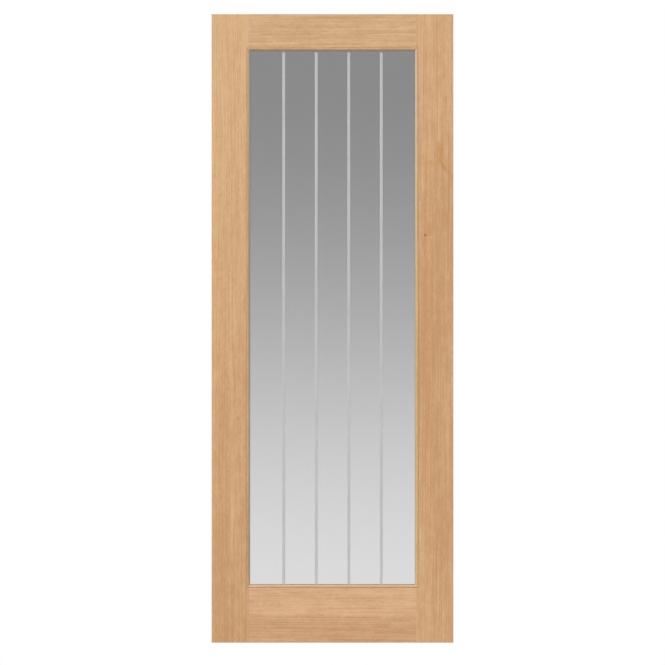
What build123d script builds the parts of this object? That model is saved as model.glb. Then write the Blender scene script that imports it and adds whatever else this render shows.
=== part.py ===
from build123d import *

import os
from dataclasses import dataclass

# Glazed oak interior door leaf: two stiles and two rails of lipped and veneered core, round one pane with
# etched lines, which mitred beads hold on both faces.
# Millimetres, +Z up. The origin lies on the hinge edge, at the foot of the leaf, half-way through its thickness.
# The leaf runs along +X, and its front face looks towards -Y.

# Leaf
leaf_width = 762.0
leaf_height = 1981.0
leaf_thickness = 35.0

# Stiles and rails
stile_width = 117.0
top_rail_height = 106.0
bottom_rail_height = 173.0
lipping_thickness = 10.0
veneer_thickness = 0.6
veneer_arris = 0.3

# Glass, in an opening that is let into the stiles by a stopped rebate
glazing_rebate = 6.0
glass_thickness = 6.0
glass_edge_clearance = 2.5
etched_line_count = 4
etched_line_width = 9.0
etched_line_pitch = 102.5
etched_line_depth = 0.3

# Glazing beads and tape
bead_quirk = 1.0
bead_quirk_depth = 3.0
bead_land = 3.5
bead_bevel_width = 5.0
bead_bevel_depth = 6.0
bead_recess = 1.0
tape_thickness = 1.0
tape_sight = 0.8

# Depths, measured from the middle of the leaf
face_depth = leaf_thickness / 2
core_depth = face_depth - veneer_thickness
glass_depth = glass_thickness / 2
tape_depth = glass_depth + tape_thickness
bead_depth = face_depth - bead_recess

# Opening between the stiles and rails
rail_length = leaf_width - 2 * stile_width
stile_opening_edge = stile_width - glazing_rebate
opening_width = leaf_width - 2 * stile_opening_edge
opening_height = leaf_height - top_rail_height - bottom_rail_height
leaf_middle = Plane(
    origin=(leaf_width / 2, 0, bottom_rail_height + opening_height / 2),
    x_dir=(1, 0, 0),
    z_dir=(0, -1, 0),
)

# Sizes that follow from those of the opening and the beads
bead_land_end = bead_quirk + bead_land
bead_width = bead_land_end + bead_bevel_width
glass_width = opening_width - 2 * glass_edge_clearance
glass_height = opening_height - 2 * glass_edge_clearance

# The two faces of the leaf, each with the way it looks along Y
faces = {"front": -1, "back": 1}


@dataclass
class Board:
    """A stile or rail. Its plane starts at its outer edge, with x across to the opening and z along the grain."""

    name: str
    side: str
    plane: Plane
    width: float
    length: float
    opening_edge: float
    opening_start: float
    opening_length: float


left_stile = Board(
    name="left_stile",
    side="left",
    plane=Plane(origin=(0, 0, 0), x_dir=(1, 0, 0), z_dir=(0, 0, 1)),
    width=stile_width,
    length=leaf_height,
    opening_edge=stile_opening_edge,
    opening_start=bottom_rail_height,
    opening_length=opening_height,
)
right_stile = Board(
    name="right_stile",
    side="right",
    plane=Plane(origin=(leaf_width, 0, leaf_height), x_dir=(-1, 0, 0), z_dir=(0, 0, -1)),
    width=stile_width,
    length=leaf_height,
    opening_edge=stile_opening_edge,
    opening_start=top_rail_height,
    opening_length=opening_height,
)
top_rail = Board(
    name="top_rail",
    side="top",
    plane=Plane(origin=(stile_width, 0, leaf_height), x_dir=(0, 0, -1), z_dir=(1, 0, 0)),
    width=top_rail_height,
    length=rail_length,
    opening_edge=top_rail_height,
    opening_start=-glazing_rebate,
    opening_length=opening_width,
)
bottom_rail = Board(
    name="bottom_rail",
    side="bottom",
    plane=Plane(origin=(leaf_width - stile_width, 0, 0), x_dir=(0, 0, 1), z_dir=(-1, 0, 0)),
    width=bottom_rail_height,
    length=rail_length,
    opening_edge=bottom_rail_height,
    opening_start=-glazing_rebate,
    opening_length=opening_width,
)
boards = (left_stile, right_stile, top_rail, bottom_rail)


def build_strip(board, low, high):
    """A strip of a board's full length, between two corners of its section, less the glazed opening."""
    with BuildPart() as strip:
        with BuildSketch(board.plane):
            with Locations(((low[0] + high[0]) / 2, (low[1] + high[1]) / 2)):
                Rectangle(high[0] - low[0], high[1] - low[1])
        extrude(amount=board.length)
        with BuildSketch(leaf_middle):
            Rectangle(opening_width, opening_height)
        extrude(amount=face_depth, both=True, mode=Mode.SUBTRACT)
    return strip


def build_veneer(board, looks):
    """The veneer on one face of a board, with the edges of the face that shows eased by a small arris."""
    near, far = sorted((looks * core_depth, looks * face_depth))
    arris = min(veneer_arris, veneer_thickness / 2)
    with BuildPart() as veneer:
        add(build_strip(board, (0, near), (board.width, far)).part)
        shown_face = veneer.faces().sort_by(Axis((0, 0, 0), (0, looks, 0)))[-1]
        chamfer(shown_face.edges(), arris)
    return veneer


def build_mitred_strip(board, section):
    """A strip along a board's side of the opening, mitred where it meets the next side."""
    across = board.plane.x_dir
    along = board.plane.z_dir
    start = board.plane.offset(board.opening_start)
    near_corner = start.origin + across * board.opening_edge
    far_corner = near_corner + along * board.opening_length
    with BuildPart() as strip:
        with BuildSketch(start):
            with BuildLine():
                Polyline([(board.opening_edge + out, depth) for out, depth in section], close=True)
            make_face()
        extrude(amount=board.opening_length)
        split(bisect_by=Plane(origin=near_corner, z_dir=along - across), keep=Keep.TOP)
        split(bisect_by=Plane(origin=far_corner, z_dir=-along - across), keep=Keep.TOP)
    return strip


def save(piece, name):
    """Label a finished piece and write it to its own file."""
    piece.part.label = name
    export_step(piece.part, f"parts/{name}.step")


os.makedirs("parts", exist_ok=True)

# Stiles and rails: a core between two solid lippings, with a veneer on each face
for board in boards:
    inner_start = board.width - lipping_thickness
    outer_lipping = build_strip(board, (0, -core_depth), (lipping_thickness, core_depth))
    save(outer_lipping, f"{board.name}_outer_lipping")
    core = build_strip(board, (lipping_thickness, -core_depth), (inner_start, core_depth))
    save(core, f"{board.name}_core")
    inner_lipping = build_strip(board, (inner_start, -core_depth), (board.width, core_depth))
    save(inner_lipping, f"{board.name}_inner_lipping")
    for face, looks in faces.items():
        save(build_veneer(board, looks), f"{board.name}_{face}_veneer")

# Glazing: a bead on a strip of tape along each side of the opening, on both faces of the glass
for board in boards:
    for face, looks in faces.items():
        bead_section = [
            (0, looks * tape_depth),
            (0, looks * (bead_depth - bead_quirk_depth)),
            (bead_quirk, looks * (bead_depth - bead_quirk_depth)),
            (bead_quirk, looks * bead_depth),
            (bead_land_end, looks * bead_depth),
            (bead_width, looks * (bead_depth - bead_bevel_depth)),
            (bead_width, looks * tape_depth),
        ]
        save(build_mitred_strip(board, bead_section), f"{face}_{board.side}_bead")
        tape_section = [
            (glass_edge_clearance, looks * tape_depth),
            (bead_width + tape_sight, looks * tape_depth),
            (bead_width + tape_sight, looks * glass_depth),
            (glass_edge_clearance, looks * glass_depth),
        ]
        save(build_mitred_strip(board, tape_section), f"{face}_{board.side}_tape")

# Glass: one pane, with its etched lines sunk in the front face
with BuildPart() as glass_pane:
    with BuildSketch(leaf_middle):
        Rectangle(glass_width, glass_height)
    extrude(amount=glass_depth, both=True)
    with BuildSketch(leaf_middle.offset(glass_depth)):
        with GridLocations(etched_line_pitch, glass_height, etched_line_count, 1):
            Rectangle(etched_line_width, glass_height)
    extrude(amount=-etched_line_depth, mode=Mode.SUBTRACT)
save(glass_pane, "glass_pane")
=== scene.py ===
"""A glazed oak door leaf: the finish of its boards, beads and glass, and the small pieces that lie on them.

Metres, in the leaf's own frame: +X across the leaf from the hinge edge, +Y from the front face to the back
face, +Z up. The solids stay as they are; the etched lines and the bead pins are added here.
"""

import math
from dataclasses import dataclass, replace

import bpy
from bpy.props import FloatProperty, FloatVectorProperty, PointerProperty
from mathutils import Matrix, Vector


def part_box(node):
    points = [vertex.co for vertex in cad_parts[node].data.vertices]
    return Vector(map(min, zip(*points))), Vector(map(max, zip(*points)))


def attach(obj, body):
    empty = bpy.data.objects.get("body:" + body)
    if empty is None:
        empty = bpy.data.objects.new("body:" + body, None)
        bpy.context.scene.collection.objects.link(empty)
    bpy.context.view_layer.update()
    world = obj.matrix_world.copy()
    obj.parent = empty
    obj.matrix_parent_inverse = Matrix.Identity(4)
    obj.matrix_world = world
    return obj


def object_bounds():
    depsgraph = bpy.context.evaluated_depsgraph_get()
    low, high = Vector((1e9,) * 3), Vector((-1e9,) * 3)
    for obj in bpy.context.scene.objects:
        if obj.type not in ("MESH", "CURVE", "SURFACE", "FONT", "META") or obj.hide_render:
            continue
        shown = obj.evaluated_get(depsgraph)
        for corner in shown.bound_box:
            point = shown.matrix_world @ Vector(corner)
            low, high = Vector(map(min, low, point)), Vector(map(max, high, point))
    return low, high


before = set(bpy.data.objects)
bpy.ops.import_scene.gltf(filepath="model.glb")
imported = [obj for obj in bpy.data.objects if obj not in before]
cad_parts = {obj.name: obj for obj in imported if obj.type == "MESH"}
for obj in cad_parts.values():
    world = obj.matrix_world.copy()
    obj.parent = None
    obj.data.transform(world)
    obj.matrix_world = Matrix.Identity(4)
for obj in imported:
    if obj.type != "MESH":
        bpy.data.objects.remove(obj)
cad_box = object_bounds()

bl_info = {
    "name": "Glazed Oak Door Leaf",
    "version": (1, 0, 0),
    "blender": (4, 5, 0),
    "location": "View3D > Sidebar > Door Leaf",
    "description": "Finishes a glazed oak door leaf and adds its etched lines and bead pins",
    "category": "Object",
}

MM = 0.001
SIDES = ("left", "right", "top", "bottom")
UPRIGHT_SIDES = ("left", "right")
FACES = ("front", "back")
GRAIN_UPRIGHT = (0.0, 0.0, 0.0)
GRAIN_ACROSS = (0.0, math.radians(90), 0.0)

# Corners of the leaf and the pane, from which other places are measured
leaf_low, leaf_high = cad_box
leaf_middle = (leaf_low + leaf_high) / 2
pane_low, pane_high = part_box("glass_pane")


@dataclass
class BoardCut:
    """How the oak of one stile or rail was cut from the log, and its colour."""

    grain: tuple
    log_place: tuple
    wander: float
    contrast: float
    tint: tuple
    richness: tuple


# The richness is given at the start, the middle and the end of a board. It is partly the oak's own tone and
# partly painted light and shade that change along the board
BOARD_CUTS = {
    "left_stile": BoardCut(
        grain=GRAIN_UPRIGHT,
        log_place=(0.31, 0.0, 0.4),
        wander=1.5 * MM,
        contrast=0.80,
        tint=(1.0, 1.0, 1.0),
        richness=(0.77, 0.46, 0.10),
    ),
    "right_stile": BoardCut(
        grain=GRAIN_UPRIGHT,
        log_place=(1.73, 0.2, 2.9),
        wander=1.5 * MM,
        contrast=0.80,
        tint=(1.0, 1.0, 1.0),
        richness=(0.62, 0.84, 0.44),
    ),
    "top_rail": BoardCut(
        grain=GRAIN_ACROSS,
        log_place=(3.10, 0.1, 5.3),
        wander=2.0 * MM,
        contrast=0.85,
        tint=(1.0, 1.045, 1.11),
        richness=(0.41, 0.44, 0.47),
    ),
    "bottom_rail": BoardCut(
        grain=GRAIN_ACROSS,
        log_place=(4.60, 0.3, 7.7),
        wander=3.0 * MM,
        contrast=0.80,
        tint=(1.0, 1.0, 1.065),
        richness=(0.41, 0.41, 0.41),
    ),
}
END_GRAIN_RICHER = 0.35
OAK_GLOSS = 0.35

# Lippings and beads come from other parts of the log than the veneers beside them
LIPPING_LOG_SHIFT = Vector((0.0, 0.7, 1.1))
LIPPING_CONTRAST = 0.9
BEAD_LOG_SHIFT = Vector((0.0, 1.9, 2.3))
BEAD_TINT = (0.98, 1.045, 1.12)
BEAD_RICHNESS = 0.40
BEAD_CONTRAST = 0.7

# Slope of the beads' bevels, and how strongly a painted highlight pales them: in general, and at the head of
# the upright beads
BEVEL_SLOPE = 0.6
BEVEL_SLOPE_ROOM = 0.2
BEVEL_PAINTED_HIGHLIGHT = 0.35
BEVEL_PAINTED_HIGHLIGHT_AT_HEAD = 1.0

# Middle of a bead's flat land, from the edge of the opening, as a share of the bead's width
BEAD_LAND_MIDDLE = 0.32


@dataclass
class GrainMark:
    """One kind of mark in the oak: its size across and along the grain, and how far it swings the tone."""

    across: float
    along: float
    swing: float
    detail: float = 1.0
    roughness: float = 0.5


OAK_MARKS = {
    "bands": GrainMark(across=42.0 * MM, along=700.0 * MM, swing=1.2, detail=2.0),
    "streaks": GrainMark(across=9.0 * MM, along=240.0 * MM, swing=1.3, detail=3.0, roughness=0.72),
    "lines": GrainMark(across=3.6 * MM, along=320.0 * MM, swing=1.2),
    "mottle": GrainMark(across=17.0 * MM, along=45.0 * MM, swing=1.0, detail=2.0),
    "flecks": GrainMark(across=2.6 * MM, along=14.0 * MM, swing=1.3, detail=2.0),
}


@dataclass
class Knot:
    """A pin knot in a stile's front veneer, its place measured from the foot of the hinge edge."""

    place: tuple
    half_size: tuple
    strength: float


KNOTS = {
    "left_stile": Knot(place=(0.084, 0.7065), half_size=(6.5 * MM, 9.0 * MM), strength=0.3),
    "right_stile": Knot(place=(0.673, 1.2845), half_size=(6.8 * MM, 7.6 * MM), strength=0.66),
}

# Rich wood beside the right stile's knot, measured from the knot
HALO_OFFSET = (14.0 * MM, 20.0 * MM)
HALO_HALF_SIZE = (24.0 * MM, 32.0 * MM)
HALO_TINT = (0.95, 0.91, 0.88)
HALO_STRENGTH = 0.45

# Heart streak on the front of the right stile. On its way down it bends towards the stile's edge, and a
# faint arm joins it from the left.
STREAK_HEAD = 1.605
STREAK_BEND = (0.7205, 1.5146)
STREAK_FOOT = 1.435
STREAK_SHIFT = 55.0 * MM
STREAK_HALF_WIDTH = 15.0 * MM
STREAK_ARM_OFFSET = (-30.0 * MM, -4.0 * MM)
STREAK_ARM_HALF_SIZE = (40.0 * MM, 13.0 * MM)
STREAK_ARM_STRENGTH = 0.36

# Half size through the leaf of a mark that shows at any depth
ANY_DEPTH = 1.0

# Two leaves of veneer meet on the front of the bottom rail, along a wavy joint
LEAF_JOINT_HEIGHT = 86.0 * MM
LEAF_JOINT_WAVE = 6.0 * MM
LOWER_LEAF_RICHER = 0.30
UPPER_LEAF_PALER = 0.09

# The pane's levels are given as they look on a screen
SCREEN_GAMMA = 2.2

# Stage
FLOOR_HALF = 15.0
LIGHT_DISTANCE = 5.0
KEY_TOWARDS = Vector((-0.31, -0.81, 0.49))
REAR_TOWARDS = Vector((0.52, 0.78, 0.35))
VIEW_DISTANCE = 6.0


def colour_property(name, description, default):
    """A colour that the user can change."""
    return FloatVectorProperty(
        name=name, description=description, subtype="COLOR", size=3, min=0.0, max=1.0, default=default
    )


def length_property(name, description, default):
    """A length that the user can change."""
    return FloatProperty(
        name=name, description=description, unit="LENGTH", min=0.0, precision=5, default=default
    )


def factor_property(name, description, default):
    """A share from 0 to 1 that the user can change."""
    return FloatProperty(
        name=name, description=description, subtype="FACTOR", min=0.0, max=1.0, default=default
    )


def strength_property(name, description, default):
    """A light's strength that the user can change."""
    return FloatProperty(name=name, description=description, min=0.0, default=default)


class OakFinish(bpy.types.PropertyGroup):
    """Colours and figure of the oak"""

    pale: colour_property("Pale Oak", "Colour of the palest streaks", (0.667, 0.4155, 0.2165))
    rich: colour_property("Rich Oak", "Colour of the richest streaks", (0.503, 0.269, 0.122))
    pore: colour_property("Pores", "Colour inside the open pores", (0.27, 0.14, 0.06))
    stain: colour_property("Heart Streak", "Colour of the heart streak", (0.45, 0.215, 0.055))
    knot: colour_property("Knot", "Colour of the pin knots", (0.22, 0.11, 0.035))
    # Painted highlight: the bevels of the beads are paled towards this colour
    bevel: colour_property("Bead Bevel", "Colour of the freshly cut bevels of the beads", (0.70, 0.53, 0.36))
    ring_width: length_property("Ring Width", "Usual width of one year's growth", 9.3 * MM)
    roughness: factor_property("Roughness", "Roughness of the satin lacquer", 0.46)


class CoreFinish(bpy.types.PropertyGroup):
    """Colours and staves of the softwood cores"""

    early: colour_property("Early Wood", "Colour of the soft early wood", (0.74, 0.55, 0.34))
    late: colour_property("Late Wood", "Colour of the hard late wood", (0.50, 0.29, 0.13))
    glue: colour_property("Glue Line", "Colour of the glue between two staves", (0.30, 0.21, 0.12))
    stave_width: length_property("Stave Width", "Width of one stave of the core", 33.0 * MM)
    ring_width: length_property("Ring Width", "Usual width of one year's growth", 2.6 * MM)


class GlassFinish(bpy.types.PropertyGroup):
    """Painted reflection on the pane and look of its etched lines"""

    # Painted reflection: how light the pane's grey is at its head and at its foot
    head_level: factor_property("Level at Head", "How light the pane looks at its head", 0.508)
    foot_level: factor_property("Level at Foot", "How light the pane looks at its foot", 0.852)
    etch: factor_property("Etch", "How pale the etched lines are", 0.475)
    # Painted light: the side of the lines that faces the pane is paler, for light that would shine through
    # the frost
    etch_behind_painted_light: factor_property("Etch Behind", "How pale the lines are where they face the pane", 0.64)
    passed: colour_property("Passed Light", "Light that one face of the pane passes", (0.92, 0.92, 0.92))
    # Painted shade: a dark line along the foot of the pane, and how far it reaches above the foot bead
    painted_foot_shade: colour_property("Dust", "Colour of the dust along the foot of the pane", (0.27, 0.155, 0.045))
    painted_shade_height: length_property("Dust Height", "How far the dust reaches above the foot bead", 2.6 * MM)
    etch_gap: length_property("Etch Gap", "Room between an etched line and its groove", 0.01 * MM)
    etch_round: length_property("Etch Round", "Rounding along the edges of an etched line", 0.1 * MM)


class GlazingFittings(bpy.types.PropertyGroup):
    """Tapes and pins that hold the pane"""

    tape: colour_property("Tape", "Colour of the foam tape", (0.14, 0.122, 0.103))
    pin: colour_property("Pin", "Colour of the steel pins", (0.42, 0.39, 0.35))
    pin_head: length_property("Pin Head", "Diameter of a pin's head", 1.5 * MM)
    pin_length: length_property("Pin Length", "Length of a pin", 10.0 * MM)
    pin_proud: length_property("Pin Proud", "How far a pin's head stands out of its bead", 0.12 * MM)
    pin_spacing: length_property("Pin Spacing", "Usual distance between two pins", 170.0 * MM)
    pin_inset: length_property("Pin Inset", "Distance from a corner of the bead to its first pin", 45.0 * MM)


class Studio(bpy.types.PropertyGroup):
    """Floor, light and view"""

    view_height: length_property("View Height", "Height of the view", 2.096)
    view_drop: length_property("View Drop", "How far the view's middle lies below the leaf's", 12.84 * MM)
    key: strength_property("Key", "Strength of the main light, from the front, above and a little left", 2.7)
    rear: strength_property("Rear", "Strength of the light from behind the leaf", 2.6)
    softness: FloatProperty(
        name="Softness", description="How wide each light looks", unit="ROTATION", default=math.radians(14.0)
    )
    ambient: factor_property("Ambient", "Level of the light from all round", 0.30)
    floor: colour_property("Floor", "Colour of the floor", (0.35, 0.35, 0.35))
    floor_lift: factor_property("Floor Lift", "How far the floor is lifted to white where it is seen", 0.75)


# Helpers for node trees
def add_node(tree, kind, inputs=None, **settings):
    """A new node with its settings. Each input is given a value, or the output that feeds it."""
    made = tree.nodes.new(kind)
    for setting, value in settings.items():
        setattr(made, setting, value)
    for key, value in (inputs or {}).items():
        if isinstance(value, bpy.types.NodeSocket):
            tree.links.new(value, made.inputs[key])
        else:
            made.inputs[key].default_value = value
    return made


def feed(tree, sockets, **outputs):
    """Links each output to the socket of its name, where an underscore stands for a space."""
    for label, output in outputs.items():
        tree.links.new(output, sockets[label.replace("_", " ")])


def calculate(tree, operation, *values, clamp=False):
    """The result of one Math node."""
    inputs = dict(enumerate(values))
    return add_node(tree, "ShaderNodeMath", inputs, operation=operation, use_clamp=clamp).outputs["Value"]


def combine(tree, operation, *values):
    """Several values combined, one after the other, by the same operation."""
    result = values[0]
    for value in values[1:]:
        result = calculate(tree, operation, result, value)
    return result


def swing(tree, share, amount):
    """A share from 0 to 1, swung about zero by this amount in all."""
    return calculate(tree, "MULTIPLY_ADD", share, amount, -amount / 2)


def distance(tree, value, target):
    """How far a value lies from a target."""
    return calculate(tree, "ABSOLUTE", calculate(tree, "SUBTRACT", value, target))


def vector_calculate(tree, operation, *values):
    """The vector that one Vector Math node gives."""
    inputs = dict(enumerate(values))
    return add_node(tree, "ShaderNodeVectorMath", inputs, operation=operation).outputs["Vector"]


def length_of(tree, vector):
    """The length of a vector."""
    return add_node(tree, "ShaderNodeVectorMath", {0: vector}, operation="LENGTH").outputs["Value"]


def axes(tree, vector):
    """The X, Y and Z of a vector."""
    return add_node(tree, "ShaderNodeSeparateXYZ", {"Vector": vector}).outputs


def vector_of(tree, **parts):
    """A vector from its X, Y and Z, where one that isn't given is zero."""
    return add_node(tree, "ShaderNodeCombineXYZ", parts).outputs["Vector"]


def carry(tree, value, low, high, start=0.0, end=1.0):
    """A value carried smoothly from low and high to start and end, and held there."""
    inputs = {"Value": value, "From Min": low, "From Max": high, "To Min": start, "To Max": end}
    return add_node(tree, "ShaderNodeMapRange", inputs, interpolation_type="SMOOTHSTEP").outputs["Result"]


def blend(tree, factor, first, second):
    """Two colours mixed by a factor."""
    return add_node(tree, "ShaderNodeMix", {0: factor, 6: first, 7: second}, data_type="RGBA").outputs[2]


def noise(tree, vector, size, detail=1.0, roughness=0.5):
    """Noise from 0 to 1 whose features are about this size along X, Y and Z."""
    scaled = vector_calculate(tree, "DIVIDE", vector, size)
    inputs = {"Vector": scaled, "Scale": 1.0, "Detail": detail, "Roughness": roughness}
    return add_node(tree, "ShaderNodeTexNoise", inputs).outputs["Fac"]


def opaque(colour):
    """A colour with full alpha, as a colour socket takes it."""
    return (*colour, 1.0)


def tinted(colour, tint):
    """A colour with its red, green and blue each changed by a tint."""
    return opaque([min(1.0, part * change) for part, change in zip(colour, tint)])


def new_group(name, kind, inputs, outputs):
    """An empty node group with named sockets, each given with its type, and the group's inner ends."""
    tree = bpy.data.node_groups.new(name, kind)
    for direction, sockets in (("INPUT", inputs), ("OUTPUT", outputs)):
        for label, data_type in sockets.items():
            tree.interface.new_socket(name=label, in_out=direction, socket_type=f"NodeSocket{data_type}")
    return tree, tree.nodes.new("NodeGroupInput").outputs, tree.nodes.new("NodeGroupOutput").inputs


# Shader groups
def build_oak_figure():
    """Solid oak whose grain runs along Z: growth rings, streaks, open pores and rays."""
    tree, given, result = new_group(
        "Oak Figure",
        "ShaderNodeTree",
        {
            "Vector": "Vector",
            "Pale": "Color",
            "Rich": "Color",
            "Pore": "Color",
            "Richness": "Float",
            "Contrast": "Float",
            "Wander": "Float",
            "Ring Width": "Float",
            "Roughness": "Float",
        },
        {"Color": "Color", "Roughness": "Float", "Height": "Float"},
    )
    place = given["Vector"]

    # The grain drifts sideways, slowly and in small waves
    slow = swing(tree, noise(tree, place, (0.13, 0.13, 0.55)), 4.0)
    quick = swing(tree, noise(tree, place, (0.022, 0.022, 0.11), detail=2.0), 1.0)
    drift = calculate(tree, "MULTIPLY", calculate(tree, "ADD", slow, quick), given["Wander"])
    bent = vector_calculate(tree, "ADD", place, vector_of(tree, X=drift))

    # Growth rings lie at a slant and are unevenly wide, each darkest where its early wood starts
    slant, unevenness, early_share = 0.35, 4.0, 0.45
    across = axes(tree, bent)
    ring_line = calculate(tree, "MULTIPLY_ADD", across["Y"], slant, across["X"])
    ring_count = calculate(tree, "DIVIDE", ring_line, given["Ring Width"])
    uneven = noise(tree, bent, (0.03, 0.03, 0.8))
    ring_phase = calculate(tree, "FRACT", calculate(tree, "MULTIPLY_ADD", uneven, unevenness, ring_count))
    ring_strength = noise(tree, bent, (0.012, 0.012, 0.30))
    early_ring = carry(tree, ring_phase, 0.0, early_share, start=1.0, end=0.0)
    early = calculate(tree, "MULTIPLY", early_ring, ring_strength)

    # Rings and marks make the wood richer or paler
    early_richer, late_paler = 0.55, 0.06
    tones = [calculate(tree, "MULTIPLY_ADD", early, early_richer, -late_paler)]
    for mark in OAK_MARKS.values():
        size = (mark.across, mark.across, mark.along)
        tones.append(swing(tree, noise(tree, bent, size, mark.detail, mark.roughness), mark.swing))
    tone = combine(tree, "ADD", *tones)
    level = calculate(tree, "MULTIPLY_ADD", tone, given["Contrast"], given["Richness"], clamp=True)
    wood = blend(tree, level, given["Pale"], given["Rich"])

    # Pale rays cross the grain, and open pores lie along it, most of them in the early wood
    ray_strength, pore_strength = 0.22, 0.5
    more_in_early, in_late = 1.3, 0.25
    rays = carry(tree, noise(tree, bent, (0.0035, 0.0035, 0.0009)), 0.62, 0.74)
    rayed = blend(tree, calculate(tree, "MULTIPLY", rays, ray_strength), wood, given["Pale"])
    pore_noise = noise(tree, bent, (0.00055, 0.00055, 0.008))
    pore_room = calculate(tree, "MULTIPLY_ADD", early, more_in_early, in_late, clamp=True)
    pores = calculate(tree, "MULTIPLY", carry(tree, pore_noise, 0.56, 0.70), pore_room)
    pored = blend(tree, calculate(tree, "MULTIPLY", pores, pore_strength), rayed, given["Pore"])

    # The lacquer is duller and lies lower on early wood and in pores
    early_dull, pore_dull, early_dent = 0.12, 0.2, 0.35
    dull = calculate(tree, "MULTIPLY_ADD", early, early_dull, given["Roughness"])
    roughness = calculate(tree, "MULTIPLY_ADD", pores, pore_dull, dull, clamp=True)
    dented = calculate(tree, "MULTIPLY_ADD", early, -early_dent, 1.0)
    height = calculate(tree, "SUBTRACT", dented, pores)
    feed(tree, result, Color=pored, Roughness=roughness, Height=height)
    return tree


def build_softwood_staves():
    """Softwood glued up from staves along Z, each cut from another part of a log."""
    tree, given, result = new_group(
        "Softwood Staves",
        "ShaderNodeTree",
        {
            "Vector": "Vector",
            "Early": "Color",
            "Late": "Color",
            "Glue": "Color",
            "Stave Width": "Float",
            "Ring Width": "Float",
        },
        {"Color": "Color", "Height": "Float"},
    )
    place = axes(tree, given["Vector"])
    staves_across = calculate(tree, "DIVIDE", place["X"], given["Stave Width"])
    stave = calculate(tree, "FLOOR", staves_across)
    from_middle = calculate(tree, "SUBTRACT", calculate(tree, "FRACT", staves_across), 0.5)

    # Each stave comes from another part of the log, so its rings curve about another heart
    log_reach, log_start = (0.16, 0.16, 1.0), (-0.08, 0.02, 0.0)
    taper, unevenness = (1.0, 1.0, 0.02), 2.0
    chance = add_node(tree, "ShaderNodeTexWhiteNoise", {"W": stave}, noise_dimensions="1D").outputs["Color"]
    log_shift = vector_calculate(tree, "MULTIPLY_ADD", chance, log_reach, log_start)
    stave_x = calculate(tree, "MULTIPLY", from_middle, given["Stave Width"])
    stave_place = vector_of(tree, X=stave_x, Y=place["Y"], Z=place["Z"])
    in_log = vector_calculate(tree, "ADD", stave_place, log_shift)
    from_heart = length_of(tree, vector_calculate(tree, "MULTIPLY", in_log, taper))
    uneven = noise(tree, in_log, (0.012, 0.012, 0.4), detail=2.0)
    rings = calculate(tree, "DIVIDE", from_heart, given["Ring Width"])
    ring_phase = calculate(tree, "FRACT", calculate(tree, "MULTIPLY_ADD", uneven, unevenness, rings))
    late = carry(tree, ring_phase, 0.35, 0.95)

    # Late wood is darker and stands higher, and a thin line of glue shows between two staves
    stave_share, stave_base, late_share, fibre_share = 0.3, -0.1, 0.6, 0.3
    fibres = noise(tree, in_log, (0.0008, 0.0008, 0.02), detail=2.0)
    stave_tone = calculate(tree, "MULTIPLY_ADD", axes(tree, chance)["X"], stave_share, stave_base)
    tone = calculate(tree, "MULTIPLY_ADD", late, late_share, stave_tone)
    level = calculate(tree, "MULTIPLY_ADD", fibres, fibre_share, tone, clamp=True)
    wood = blend(tree, level, given["Early"], given["Late"])
    glue_line = carry(tree, calculate(tree, "ABSOLUTE", from_middle), 0.488, 0.497)
    glued = blend(tree, glue_line, wood, given["Glue"])
    height = calculate(tree, "MULTIPLY_ADD", late, late_share, fibres)
    feed(tree, result, Color=glued, Height=height)
    return tree


def shader_group(name, build):
    """The shader group of this name, built the first time that a material asks for it."""
    return bpy.data.node_groups.get(name) or build()


# Materials
def new_material(name, **plain_values):
    """A material with one Principled shader, its plain values set on the shader's own sockets."""
    material = bpy.data.materials.new(name)
    material.use_nodes = True
    shader = material.node_tree.nodes["Principled BSDF"].inputs
    for label, value in plain_values.items():
        shader[label.replace("_", " ")].default_value = value
    return material, material.node_tree, shader


def own_place(tree):
    """The piece's own coordinates."""
    return tree.nodes.new("ShaderNodeTexCoord").outputs["Object"]


def place_in_log(tree, cut):
    """The piece's own coordinates, turned so that its grain runs along Z, at its place in the log."""
    inputs = {"Vector": own_place(tree), "Rotation": cut.grain, "Location": cut.log_place}
    return add_node(tree, "ShaderNodeMapping", inputs).outputs["Vector"]


def facing(tree):
    """The X, Y and Z of the way that a face looks."""
    return axes(tree, tree.nodes.new("ShaderNodeNewGeometry").outputs["True Normal"])


def bump(tree, height, depth, strength):
    """A normal dented by a height from 0 to 1, over this depth."""
    inputs = {"Height": height, "Distance": depth, "Strength": strength}
    return add_node(tree, "ShaderNodeBump", inputs).outputs["Normal"]


def front_spot(tree, place, centre, half_size):
    """A mask that fades out from a centre to an oval edge, both given across and up the leaf's front."""
    (x, z), (across, up) = centre, half_size
    offset = vector_calculate(tree, "SUBTRACT", place, (x, leaf_low.y, z))
    reach = length_of(tree, vector_calculate(tree, "DIVIDE", offset, (across, ANY_DEPTH, up)))
    return carry(tree, reach, 0.2, 1.0, start=1.0, end=0.0)


def lay_oak(tree, shader, oak, cut, richness):
    """Feeds a shader's roughness and normal from the oak figure, and gives the oak's colour."""
    figure = add_node(
        tree,
        "ShaderNodeGroup",
        {
            "Vector": place_in_log(tree, cut),
            "Pale": tinted(oak.pale, cut.tint),
            "Rich": tinted(oak.rich, cut.tint),
            "Pore": opaque(oak.pore),
            "Richness": richness,
            "Contrast": cut.contrast,
            "Wander": cut.wander,
            "Ring Width": oak.ring_width,
            "Roughness": oak.roughness,
        },
        node_tree=shader_group("Oak Figure", build_oak_figure),
    ).outputs
    normal = bump(tree, figure["Height"], depth=0.2 * MM, strength=0.35)
    feed(tree, shader, Roughness=figure["Roughness"], Normal=normal)
    return figure["Color"]


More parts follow.
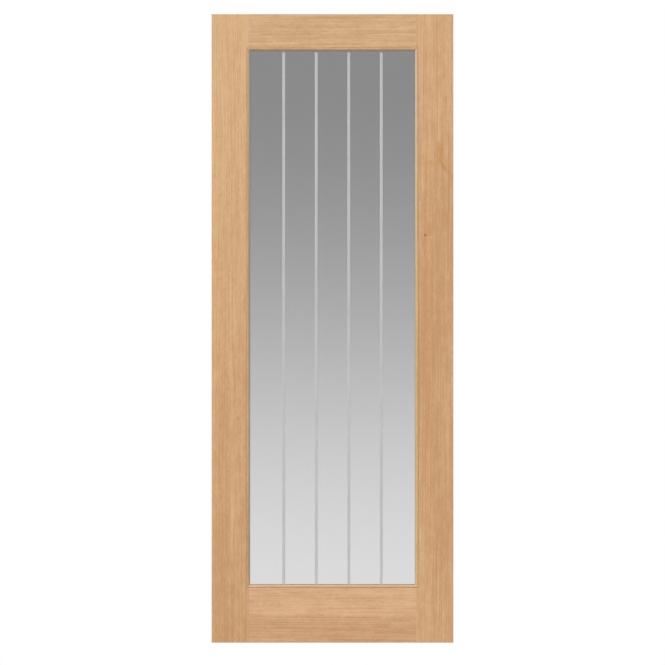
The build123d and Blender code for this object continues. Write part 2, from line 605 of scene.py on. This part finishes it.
def board_richness(tree, board, cut):
    """How rich a board is along its length, and richer where an upright one shows its end grain."""
    low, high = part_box(f"{board}_front_veneer")
    upright = cut.grain == GRAIN_UPRIGHT
    start, end = (low.z, high.z) if upright else (low.x, high.x)
    middle = (start + end) / 2
    along = axes(tree, own_place(tree))["Z" if upright else "X"]
    at_start, at_middle, at_end = cut.richness
    first_half = carry(tree, along, start, middle, at_start, at_middle)
    second_half = carry(tree, along, middle, end, 0.0, at_end - at_middle)
    along_board = calculate(tree, "ADD", first_half, second_half)
    if not upright:
        return along_board
    end_grain = carry(tree, calculate(tree, "ABSOLUTE", facing(tree)["Z"]), 0.8, 0.95)
    return calculate(tree, "MULTIPLY_ADD", end_grain, END_GRAIN_RICHER, along_board)


def add_leaf_joint(tree, richness):
    """Two leaves of veneer on one rail: the upper one paler, the lower one richer."""
    place = own_place(tree)
    wave = calculate(tree, "MULTIPLY", noise(tree, place, (0.12, 0.05, 0.05)), LEAF_JOINT_WAVE)
    height = calculate(tree, "ADD", axes(tree, place)["Z"], wave)
    lower, upper = LEAF_JOINT_HEIGHT - 2.0 * MM, LEAF_JOINT_HEIGHT + 6.0 * MM
    step = carry(tree, height, lower, upper, LOWER_LEAF_RICHER, -UPPER_LEAF_PALER)
    return calculate(tree, "ADD", richness, step)


def add_pin_knot(tree, oak, wood, knot):
    """A small ragged knot in the veneer on the front."""
    place = own_place(tree)
    spot = front_spot(tree, place, knot.place, knot.half_size)
    specks = noise(tree, place, (0.002, 0.002, 0.003), detail=2.0)
    ragged = calculate(tree, "MULTIPLY", spot, carry(tree, specks, 0.3, 0.7, start=0.5, end=1.5))
    mask = calculate(tree, "MULTIPLY", ragged, knot.strength, clamp=True)
    return blend(tree, mask, wood, opaque(oak.knot))


def add_halo(tree, oak, wood, knot):
    """Rich wood beside a knot."""
    centre = [part + offset for part, offset in zip(knot.place, HALO_OFFSET)]
    spot = front_spot(tree, own_place(tree), centre, HALO_HALF_SIZE)
    return blend(tree, calculate(tree, "MULTIPLY", spot, HALO_STRENGTH), wood, tinted(oak.rich, HALO_TINT))


def add_heart_streak(tree, oak, wood):
    """A patchy heart streak that bends towards the stile's edge, with a faint arm on its other side."""
    place = own_place(tree)
    spot = axes(tree, place)
    bend_x, bend_z = STREAK_BEND
    bend_start, bend_end = bend_z + 10.0 * MM, bend_z - 80.0 * MM
    middle = carry(tree, spot["Z"], bend_start, bend_end, bend_x, bend_x + STREAK_SHIFT)
    from_middle = distance(tree, spot["X"], middle)
    beside = carry(tree, from_middle, 1.0 * MM, STREAK_HALF_WIDTH, start=1.0, end=0.0)
    above_foot = carry(tree, spot["Z"], STREAK_FOOT, bend_z)
    below_head = carry(tree, spot["Z"], bend_z + 25.0 * MM, STREAK_HEAD, start=1.0, end=0.0)
    streak = combine(tree, "MULTIPLY", beside, above_foot, below_head)
    arm_centre = [part + offset for part, offset in zip(STREAK_BEND, STREAK_ARM_OFFSET)]
    arm = front_spot(tree, place, arm_centre, STREAK_ARM_HALF_SIZE)
    stain = calculate(tree, "MULTIPLY_ADD", arm, STREAK_ARM_STRENGTH, streak)
    clouds = noise(tree, place, (0.009, 0.009, 0.028), detail=2.0)
    patches = carry(tree, clouds, 0.3, 0.65, start=0.36, end=0.78)
    mask = calculate(tree, "MULTIPLY", stain, patches, clamp=True)
    return blend(tree, mask, wood, opaque(oak.stain))


def veneer_material(board, face, oak):
    """Oak veneer of one face of one board."""
    cut = BOARD_CUTS[board]
    material, tree, shader = new_material(f"{board}_{face}_oak", Specular_IOR_Level=OAK_GLOSS)
    richness = board_richness(tree, board, cut)
    if (board, face) == ("bottom_rail", "front"):
        richness = add_leaf_joint(tree, richness)
    wood = lay_oak(tree, shader, oak, cut, richness)
    if (board, face) == ("right_stile", "front"):
        wood = add_heart_streak(tree, oak, wood)
        wood = add_halo(tree, oak, wood, KNOTS[board])
    if board in KNOTS and face == "front":
        wood = add_pin_knot(tree, oak, wood, KNOTS[board])
    feed(tree, shader, Base_Color=wood)
    return material


def lipping_material(board, oak):
    """Solid oak of the lippings on one board's edges."""
    cut = BOARD_CUTS[board]
    log_place = Vector(cut.log_place) + LIPPING_LOG_SHIFT
    cut = replace(cut, log_place=log_place, contrast=LIPPING_CONTRAST)
    material, tree, shader = new_material(f"{board}_lipping_oak", Specular_IOR_Level=OAK_GLOSS)
    wood = lay_oak(tree, shader, oak, cut, board_richness(tree, board, cut))
    feed(tree, shader, Base_Color=wood)
    return material


def bead_material(side, oak):
    """Straight-grained oak of the beads on one side of the opening, with a painted highlight that pales its
    bevels.
    """
    upright = side in UPRIGHT_SIDES
    cut = BOARD_CUTS[f"{side}_stile" if upright else f"{side}_rail"]
    log_place = Vector(cut.log_place) + BEAD_LOG_SHIFT
    cut = replace(cut, log_place=log_place, contrast=BEAD_CONTRAST, tint=BEAD_TINT)
    material, tree, shader = new_material(f"{side}_bead_oak", Specular_IOR_Level=OAK_GLOSS)
    wood = lay_oak(tree, shader, oak, cut, BEAD_RICHNESS)
    # Painted highlight: faces that slope like the bevels are paled, on the upright beads more towards the
    # head
    slope = calculate(tree, "ABSOLUTE", facing(tree)["Y"])
    bevel = calculate(tree, "COMPARE", slope, BEVEL_SLOPE, BEVEL_SLOPE_ROOM)
    height = axes(tree, own_place(tree))["Z"]
    at_head = BEVEL_PAINTED_HIGHLIGHT_AT_HEAD if upright else BEVEL_PAINTED_HIGHLIGHT
    paler = carry(tree, height, leaf_middle.z, pane_high.z, BEVEL_PAINTED_HIGHLIGHT, at_head)
    painted_bevel_highlight = calculate(tree, "MULTIPLY", bevel, paler)
    feed(tree, shader, Base_Color=blend(tree, painted_bevel_highlight, wood, opaque(oak.bevel)))
    return material


def core_material(board, core):
    """Glued-up softwood of one board's core."""
    material, tree, shader = new_material(f"{board}_core_softwood", Roughness=0.75)
    staves = add_node(
        tree,
        "ShaderNodeGroup",
        {
            "Vector": place_in_log(tree, BOARD_CUTS[board]),
            "Early": opaque(core.early),
            "Late": opaque(core.late),
            "Glue": opaque(core.glue),
            "Stave Width": core.stave_width,
            "Ring Width": core.ring_width,
        },
        node_tree=shader_group("Softwood Staves", build_softwood_staves),
    ).outputs
    normal = bump(tree, staves["Height"], depth=0.2 * MM, strength=0.4)
    feed(tree, shader, Base_Color=staves["Color"], Normal=normal)
    return material


@dataclass
class Grooves:
    """The grooves in the front of the pane, along X, and how deep their floor lies along Y."""

    middles: list
    width: float
    floor: float

    @property
    def pitch(self):
        """From the middle of one groove to that of the next."""
        return self.middles[1] - self.middles[0]


def read_grooves():
    """The pane's grooves, from the corners that lie within its front half."""
    corners = [vertex.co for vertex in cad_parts["glass_pane"].data.vertices]
    just_inside, half_way = pane_low.y + 0.001 * MM, (pane_low.y + pane_high.y) / 2
    inner = [corner for corner in corners if just_inside < corner.y < half_way]
    walls = sorted({round(corner.x, 6) for corner in inner})
    if len(walls) < 4 or len(walls) % 2:
        raise RuntimeError("the pane's grooves can't be read from its corners")
    return Grooves(
        middles=[(left + right) / 2 for left, right in zip(walls[::2], walls[1::2])],
        width=walls[1] - walls[0],
        floor=max(corner.y for corner in inner),
    )


def pass_light(tree, colour):
    """Lets light shine through a material's shader, on to what stands behind it."""
    path = tree.nodes.new("ShaderNodeLightPath").outputs
    clear = add_node(tree, "ShaderNodeBsdfTransparent", {"Color": opaque(colour)}).outputs["BSDF"]
    shown = tree.nodes["Principled BSDF"].outputs["BSDF"]
    for ray in ("Is Shadow Ray", "Is Diffuse Ray"):
        shown = add_node(tree, "ShaderNodeMixShader", {0: path[ray], 1: shown, 2: clear}).outputs["Shader"]
    feed(tree, tree.nodes["Material Output"].inputs, Surface=shown)


def etched_place(tree):
    """A mask of the pane's etched lines, at any depth in the pane."""
    grooves = read_grooves()
    half_width, soft_edge = grooves.width / 2, 0.5 * MM
    across = axes(tree, own_place(tree))["X"]
    from_first = calculate(tree, "SUBTRACT", across, grooves.middles[0])
    from_nearest = calculate(tree, "PINGPONG", from_first, grooves.pitch / 2)
    on_line = carry(tree, from_nearest, half_width - soft_edge, half_width, start=1.0, end=0.0)
    outermost = (grooves.middles[-1] - grooves.middles[0]) / 2 + half_width
    among_lines = calculate(tree, "LESS_THAN", distance(tree, across, leaf_middle.x), outermost)
    return calculate(tree, "MULTIPLY", on_line, among_lines)


def glass_material(glass):
    """Polished glass with a painted reflection, a grey that lightens from head to foot, and a painted shade
    line along the foot bead.
    """
    material, tree, shader = new_material(
        "glass_painted_reflection", Transmission_Weight=1.0, IOR=1.5, Specular_IOR_Level=0.5
    )
    place = own_place(tree)
    height = axes(tree, place)["Z"]
    pane_height = pane_high.z - pane_low.z
    # Painted reflection: the pane is greyed, darkest at its head and lightening towards its foot
    reflection_foot, reflection_head = pane_low.z - 0.06 * pane_height, pane_high.z - 0.03 * pane_height
    level = carry(tree, height, reflection_foot, reflection_head, glass.foot_level, glass.head_level)
    tint = calculate(tree, "POWER", level, SCREEN_GAMMA)

    # Without the painted reflection over them, the etched lines show from behind as well
    clear = calculate(tree, "MAXIMUM", tint, etched_place(tree))
    # Painted shade: a dark line along the foot of the pane, just above the tape of the foot bead
    shade_line_foot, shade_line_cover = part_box("front_bottom_tape")[1].z, 0.9
    painted_shade_line = carry(tree, height, shade_line_foot, shade_line_foot + glass.painted_shade_height, shade_line_cover, 0.0)
    smears = noise(tree, place, (0.09, 0.09, 0.16), detail=3.0)
    waves = noise(tree, place, (0.25, 0.25, 0.07))
    feed(
        tree,
        shader,
        Base_Color=blend(tree, painted_shade_line, clear, opaque(glass.painted_foot_shade)),
        Roughness=carry(tree, smears, 0.45, 0.8, start=0.0, end=0.03),
        Normal=bump(tree, waves, depth=0.05 * MM, strength=0.2),
    )
    pass_light(tree, glass.passed)
    return material


def etch_material(glass):
    """Frosted glass of the etched lines, finely pitted, with painted light: paler where it faces the pane
    and at the heads of the lines.
    """
    material, tree, shader = new_material("etched_frost", Specular_IOR_Level=0.3)
    place = own_place(tree)
    frost = noise(tree, place, (0.6 * MM,) * 3, detail=2.0)
    clouds = noise(tree, place, (0.02, 0.02, 0.09), detail=2.0)
    cloud_share, frost_share = 0.6, 0.4
    fine = calculate(tree, "MULTIPLY", frost, frost_share)
    pits = calculate(tree, "MULTIPLY_ADD", clouds, cloud_share, fine)
    pitted = carry(tree, pits, 0.0, 1.0, start=0.88, end=1.12)
    # Painted light: the side that faces the pane is paler, for light that would shine through the frost from
    # behind
    level = carry(tree, facing(tree)["Y"], 0.2, 0.6, glass.etch, glass.etch_behind_painted_light)

    # Painted light: the heads of the lines are made paler, to make up for the shade that the bead above
    # casts on them
    head_low, head_high, head_painted_light = pane_high.z - 12.0 * MM, pane_high.z - 9.0 * MM, 0.5
    head = carry(tree, axes(tree, place)["Z"], head_low, head_high)
    lifted = calculate(tree, "MULTIPLY_ADD", head, head_painted_light, level)
    feed(
        tree,
        shader,
        Base_Color=calculate(tree, "MULTIPLY", lifted, pitted, clamp=True),
        Roughness=carry(tree, frost, 0.3, 0.7, start=0.55, end=0.8),
        Normal=bump(tree, frost, depth=0.05 * MM, strength=0.3),
    )
    return material


def tape_material(fittings):
    """Dark closed-cell foam."""
    material, tree, shader = new_material("glazing_foam", Specular_IOR_Level=0.2)
    cells = noise(tree, own_place(tree), (0.7 * MM,) * 3, detail=2.0)
    pale = [1.6 * part for part in fittings.tape]
    feed(
        tree,
        shader,
        Base_Color=blend(tree, cells, opaque(fittings.tape), opaque(pale)),
        Roughness=carry(tree, cells, 0.3, 0.7, start=0.8, end=0.95),
        Normal=bump(tree, cells, depth=0.2 * MM, strength=0.5),
    )
    return material


def pin_material(fittings):
    """Dull drawn steel."""
    material, tree, shader = new_material("pin_steel", Metallic=1.0)
    grain = noise(tree, own_place(tree), (0.4 * MM,) * 3, detail=2.0)
    dark = [0.6 * part for part in fittings.pin]
    feed(
        tree,
        shader,
        Base_Color=blend(tree, grain, opaque(dark), opaque(fittings.pin)),
        Roughness=carry(tree, grain, 0.3, 0.7, start=0.35, end=0.6),
    )
    return material


def seen_ray(tree):
    """1 for rays that show the background itself: from the camera, in a reflection or through glass."""
    path = tree.nodes.new("ShaderNodeLightPath").outputs
    rays = [path[f"Is {kind} Ray"] for kind in ("Camera", "Glossy", "Transmission")]
    return combine(tree, "MAXIMUM", *rays)


def floor_material(studio):
    """Plain pale floor, lifted to white where it is seen, which keeps the leaf's shadow."""
    material, tree, shader = new_material(
        "studio_floor", Base_Color=opaque(studio.floor), Roughness=0.9, Emission_Strength=studio.floor_lift
    )
    feed(tree, shader, Emission_Color=seen_ray(tree))
    return material


def assign(node_name, material):
    """Gives a piece of the frame its finish."""
    for material_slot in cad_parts[node_name].material_slots:
        material_slot.material = material


# Geometry Nodes trees
def build_etched_lines():
    """Upright strips with rounded edges, set side by side."""
    tree, given, result = new_group(
        "Etched Lines",
        "GeometryNodeTree",
        {
            "First Line": "Vector",
            "Count": "Int",
            "Pitch": "Float",
            "Width": "Float",
            "Depth": "Float",
            "Height": "Float",
            "Round": "Float",
            "Material": "Material",
        },
        {"Geometry": "Geometry"},
    )
    top = vector_of(tree, Z=given["Height"])
    spine = add_node(tree, "GeometryNodeCurvePrimitiveLine", {"End": top}).outputs["Curve"]
    section = add_node(
        tree, "GeometryNodeCurvePrimitiveQuadrilateral", {"Width": given["Width"], "Height": given["Depth"]}
    ).outputs["Curve"]
    corner_points = 3
    rounded = add_node(
        tree,
        "GeometryNodeFilletCurve",
        {"Curve": section, "Radius": given["Round"], "Count": corner_points},
        mode="POLY",
    ).outputs["Curve"]
    strip = add_node(
        tree, "GeometryNodeCurveToMesh", {"Curve": spine, "Profile Curve": rounded, "Fill Caps": True}
    ).outputs["Mesh"]
    step = vector_of(tree, X=given["Pitch"])
    row = add_node(
        tree,
        "GeometryNodeMeshLine",
        {"Count": given["Count"], "Start Location": given["First Line"], "Offset": step},
    ).outputs["Mesh"]
    strips = add_node(tree, "GeometryNodeInstanceOnPoints", {"Points": row, "Instance": strip})
    finish_tree(tree, strips.outputs["Instances"], given["Material"], result)
    return tree


def build_bead_pins():
    """Pins along the lines of a mesh, their heads towards the back of the leaf."""
    tree, given, result = new_group(
        "Bead Pins",
        "GeometryNodeTree",
        {
            "Geometry": "Geometry",
            "Spacing": "Float",
            "Head": "Float",
            "Length": "Float",
            "Proud": "Float",
            "Material": "Material",
        },
        {"Geometry": "Geometry"},
    )
    lines = add_node(tree, "GeometryNodeMeshToCurve", {"Mesh": given["Geometry"]}).outputs["Curve"]
    spaced = add_node(
        tree, "GeometryNodeResampleCurve", {"Curve": lines, "Length": given["Spacing"]}, mode="LENGTH"
    ).outputs["Curve"]
    sides, point_share = 12, 0.6
    head_radius = calculate(tree, "MULTIPLY", given["Head"], 0.5)
    point_radius = calculate(tree, "MULTIPLY", head_radius, point_share)
    pin = add_node(
        tree,
        "GeometryNodeMeshCone",
        {
            "Vertices": sides,
            "Radius Top": head_radius,
            "Radius Bottom": point_radius,
            "Depth": given["Length"],
        },
    ).outputs["Mesh"]
    drop = vector_of(tree, Z=calculate(tree, "SUBTRACT", given["Proud"], given["Length"]))
    driven = add_node(tree, "GeometryNodeTransform", {"Geometry": pin, "Translation": drop})
    towards_back = (math.radians(-90), 0.0, 0.0)
    pins = add_node(
        tree,
        "GeometryNodeInstanceOnPoints",
        {"Points": spaced, "Instance": driven.outputs["Geometry"], "Rotation": towards_back},
    )
    finish_tree(tree, pins.outputs["Instances"], given["Material"], result)
    return tree


def finish_tree(tree, instances, material, result):
    """Ends a tree: instances made real, with their material."""
    real = add_node(tree, "GeometryNodeRealizeInstances", {"Geometry": instances}).outputs["Geometry"]
    coated = add_node(tree, "GeometryNodeSetMaterial", {"Geometry": real, "Material": material})
    feed(tree, result, Geometry=coated.outputs["Geometry"])


def grow(name, tree, base, values):
    """A plain mesh that a tree makes from a base mesh, as a piece of the leaf."""
    piece = bpy.data.objects.new(name, base)
    bpy.context.scene.collection.objects.link(piece)
    modifier = piece.modifiers.new(tree.name, "NODES")
    modifier.node_group = tree
    for socket in tree.interface.items_tree:
        if socket.in_out == "INPUT" and socket.name in values:
            modifier[socket.identifier] = values[socket.name]
    depsgraph = bpy.context.evaluated_depsgraph_get()
    plain = bpy.data.meshes.new_from_object(piece.evaluated_get(depsgraph), depsgraph=depsgraph)
    piece.modifiers.clear()
    piece.data = plain
    plain.name = name
    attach(piece, "root")


# Operators
def add_light(name, towards, strength, softness):
    """An even, soft light from far off, which lies this way from the leaf."""
    data = bpy.data.lights.new(name, "SUN")
    data.energy = strength
    data.angle = softness
    light = bpy.data.objects.new(name, data)
    light.location = leaf_middle + LIGHT_DISTANCE * towards
    light.rotation_euler = towards.to_track_quat("Z", "Y").to_euler()
    bpy.context.scene.collection.objects.link(light)


class DOORLEAF_OT_stage(bpy.types.Operator):
    """Set up the pale floor, the soft light and the camera"""

    bl_idname = "doorleaf.stage"
    bl_label = "Stage"

    def execute(self, context):
        studio = context.scene.doorleaf_studio
        context.scene.view_settings.view_transform = "Standard"

        corners = [(FLOOR_HALF * x, FLOOR_HALF * y, 0.0) for x, y in ((-1, -1), (1, -1), (1, 1), (-1, 1))]
        sheet = bpy.data.meshes.new("studio_floor")
        sheet.from_pydata(corners, [], [(0, 1, 2, 3)])
        sheet.materials.append(floor_material(studio))
        floor = bpy.data.objects.new("studio_floor", sheet)
        floor.location.z = leaf_low.z
        context.scene.collection.objects.link(floor)

        world = bpy.data.worlds.new("Studio")
        world.use_nodes = True
        context.scene.world = world
        tree = world.node_tree
        grey, white = opaque([studio.ambient] * 3), opaque((1.0, 1.0, 1.0))
        feed(tree, tree.nodes["Background"].inputs, Color=blend(tree, seen_ray(tree), grey, white))

        add_light("key", KEY_TOWARDS, studio.key, studio.softness)
        add_light("rear", REAR_TOWARDS, studio.rear, studio.softness)

        view = bpy.data.cameras.new("view")
        view.type = "ORTHO"
        view.ortho_scale = studio.view_height
        camera = bpy.data.objects.new("view", view)
        camera.location = leaf_middle + Vector((0.0, -VIEW_DISTANCE, -studio.view_drop))
        camera.rotation_euler = (math.radians(90), 0.0, 0.0)
        context.scene.collection.objects.link(camera)
        context.scene.camera = camera
        return {"FINISHED"}


class DOORLEAF_OT_veneers(bpy.types.Operator):
    """Finish the veneers on both faces of the stiles and rails"""

    bl_idname = "doorleaf.veneers"
    bl_label = "Veneers"

    def execute(self, context):
        for board in BOARD_CUTS:
            for face in FACES:
                assign(f"{board}_{face}_veneer", veneer_material(board, face, context.scene.doorleaf_oak))
        return {"FINISHED"}


class DOORLEAF_OT_lippings(bpy.types.Operator):
    """Finish the solid lippings on the edges of the stiles and rails"""

    bl_idname = "doorleaf.lippings"
    bl_label = "Lippings"

    def execute(self, context):
        for board in BOARD_CUTS:
            material = lipping_material(board, context.scene.doorleaf_oak)
            assign(f"{board}_outer_lipping", material)
            assign(f"{board}_inner_lipping", material)
        return {"FINISHED"}


class DOORLEAF_OT_cores(bpy.types.Operator):
    """Finish the softwood cores, whose ends show at the head and foot of the stiles"""

    bl_idname = "doorleaf.cores"
    bl_label = "Cores"

    def execute(self, context):
        for board in BOARD_CUTS:
            assign(f"{board}_core", core_material(board, context.scene.doorleaf_core))
        return {"FINISHED"}


class DOORLEAF_OT_beads(bpy.types.Operator):
    """Finish the glazing beads on both faces"""

    bl_idname = "doorleaf.beads"
    bl_label = "Beads"

    def execute(self, context):
        for side in SIDES:
            material = bead_material(side, context.scene.doorleaf_oak)
            for face in FACES:
                assign(f"{face}_{side}_bead", material)
        return {"FINISHED"}


class DOORLEAF_OT_tapes(bpy.types.Operator):
    """Finish the foam tapes between the beads and the glass"""

    bl_idname = "doorleaf.tapes"
    bl_label = "Tapes"

    def execute(self, context):
        material = tape_material(context.scene.doorleaf_fittings)
        for side in SIDES:
            for face in FACES:
                assign(f"{face}_{side}_tape", material)
        return {"FINISHED"}


class DOORLEAF_OT_pane(bpy.types.Operator):
    """Finish the glass pane"""

    bl_idname = "doorleaf.pane"
    bl_label = "Glass Pane"

    def execute(self, context):
        assign("glass_pane", glass_material(context.scene.doorleaf_glass))
        return {"FINISHED"}


class DOORLEAF_OT_etched_lines(bpy.types.Operator):
    """Fill the pane's grooves with frosted lines"""

    bl_idname = "doorleaf.etched_lines"
    bl_label = "Etched Lines"

    def execute(self, context):
        glass = context.scene.doorleaf_glass
        grooves = read_grooves()
        both_gaps = 2 * glass.etch_gap
        depth = grooves.floor - pane_low.y - both_gaps
        middle_depth = (grooves.floor + pane_low.y) / 2
        values = {
            "First Line": (grooves.middles[0], middle_depth, pane_low.z + glass.etch_gap),
            "Count": len(grooves.middles),
            "Pitch": grooves.pitch,
            "Width": grooves.width - both_gaps,
            "Depth": depth,
            "Height": pane_high.z - pane_low.z - both_gaps,
            "Round": min(glass.etch_round, depth / 3),
            "Material": etch_material(glass),
        }
        empty = bpy.data.meshes.new("etched_lines")
        grow("etched_lines", build_etched_lines(), empty, values)
        return {"FINISHED"}


class DOORLEAF_OT_bead_pins(bpy.types.Operator):
    """Drive pins into the beads on the back, the side from which the pane is fitted"""

    bl_idname = "doorleaf.bead_pins"
    bl_label = "Bead Pins"

    def execute(self, context):
        fittings = context.scene.doorleaf_fittings
        inset = fittings.pin_inset
        ends = []
        for side in SIDES:
            low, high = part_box(f"back_{side}_bead")
            upright = side in UPRIGHT_SIDES
            width = high.x - low.x if upright else high.z - low.z
            outer = {"left": low.x, "right": high.x, "top": high.z, "bottom": low.z}[side]
            inward = 1.0 if side in ("left", "bottom") else -1.0
            land = outer + inward * width * BEAD_LAND_MIDDLE
            if upright:
                ends += [(land, high.y, low.z + inset), (land, high.y, high.z - inset)]
            else:
                ends += [(low.x + inset, high.y, land), (high.x - inset, high.y, land)]
        lines = bpy.data.meshes.new("bead_pin_lines")
        lines.from_pydata(ends, [(start, start + 1) for start in range(0, len(ends), 2)], [])
        values = {
            "Spacing": fittings.pin_spacing,
            "Head": fittings.pin_head,
            "Length": fittings.pin_length,
            "Proud": fittings.pin_proud,
            "Material": pin_material(fittings),
        }
        grow("back_bead_pins", build_bead_pins(), lines, values)
        return {"FINISHED"}


OPERATORS = (
    DOORLEAF_OT_stage,
    DOORLEAF_OT_veneers,
    DOORLEAF_OT_lippings,
    DOORLEAF_OT_cores,
    DOORLEAF_OT_beads,
    DOORLEAF_OT_tapes,
    DOORLEAF_OT_pane,
    DOORLEAF_OT_etched_lines,
    DOORLEAF_OT_bead_pins,
)

FINISHES = {
    "doorleaf_oak": OakFinish,
    "doorleaf_core": CoreFinish,
    "doorleaf_glass": GlassFinish,
    "doorleaf_fittings": GlazingFittings,
    "doorleaf_studio": Studio,
}


class DOORLEAF_PT_panel(bpy.types.Panel):
    """Finishes and pieces of the door leaf"""

    bl_idname = "DOORLEAF_PT_panel"
    bl_label = "Door Leaf"
    bl_space_type = "VIEW_3D"
    bl_region_type = "UI"
    bl_category = "Door Leaf"

    def draw(self, context):
        for finish, group in FINISHES.items():
            box = self.layout.box()
            settings = getattr(context.scene, finish)
            for setting in group.__annotations__:
                box.prop(settings, setting)
        for operator in OPERATORS:
            self.layout.operator(operator.bl_idname)


def register():
    """Registers the finishes, the operators and the panel."""
    for finish, group in FINISHES.items():
        bpy.utils.register_class(group)
        setattr(bpy.types.Scene, finish, PointerProperty(type=group))
    for shown in (*OPERATORS, DOORLEAF_PT_panel):
        bpy.utils.register_class(shown)


def unregister():
    """Takes the panel, the operators and the finishes away again."""
    for shown in (DOORLEAF_PT_panel, *reversed(OPERATORS)):
        bpy.utils.unregister_class(shown)
    for finish, group in FINISHES.items():
        delattr(bpy.types.Scene, finish)
        bpy.utils.unregister_class(group)


def main():
    """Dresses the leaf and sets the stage."""
    register()
    bpy.ops.doorleaf.stage()
    bpy.ops.doorleaf.veneers()
    bpy.ops.doorleaf.lippings()
    bpy.ops.doorleaf.cores()
    bpy.ops.doorleaf.beads()
    bpy.ops.doorleaf.tapes()
    bpy.ops.doorleaf.pane()
    bpy.ops.doorleaf.etched_lines()
    bpy.ops.doorleaf.bead_pins()


if __name__ == "__main__":
    main()
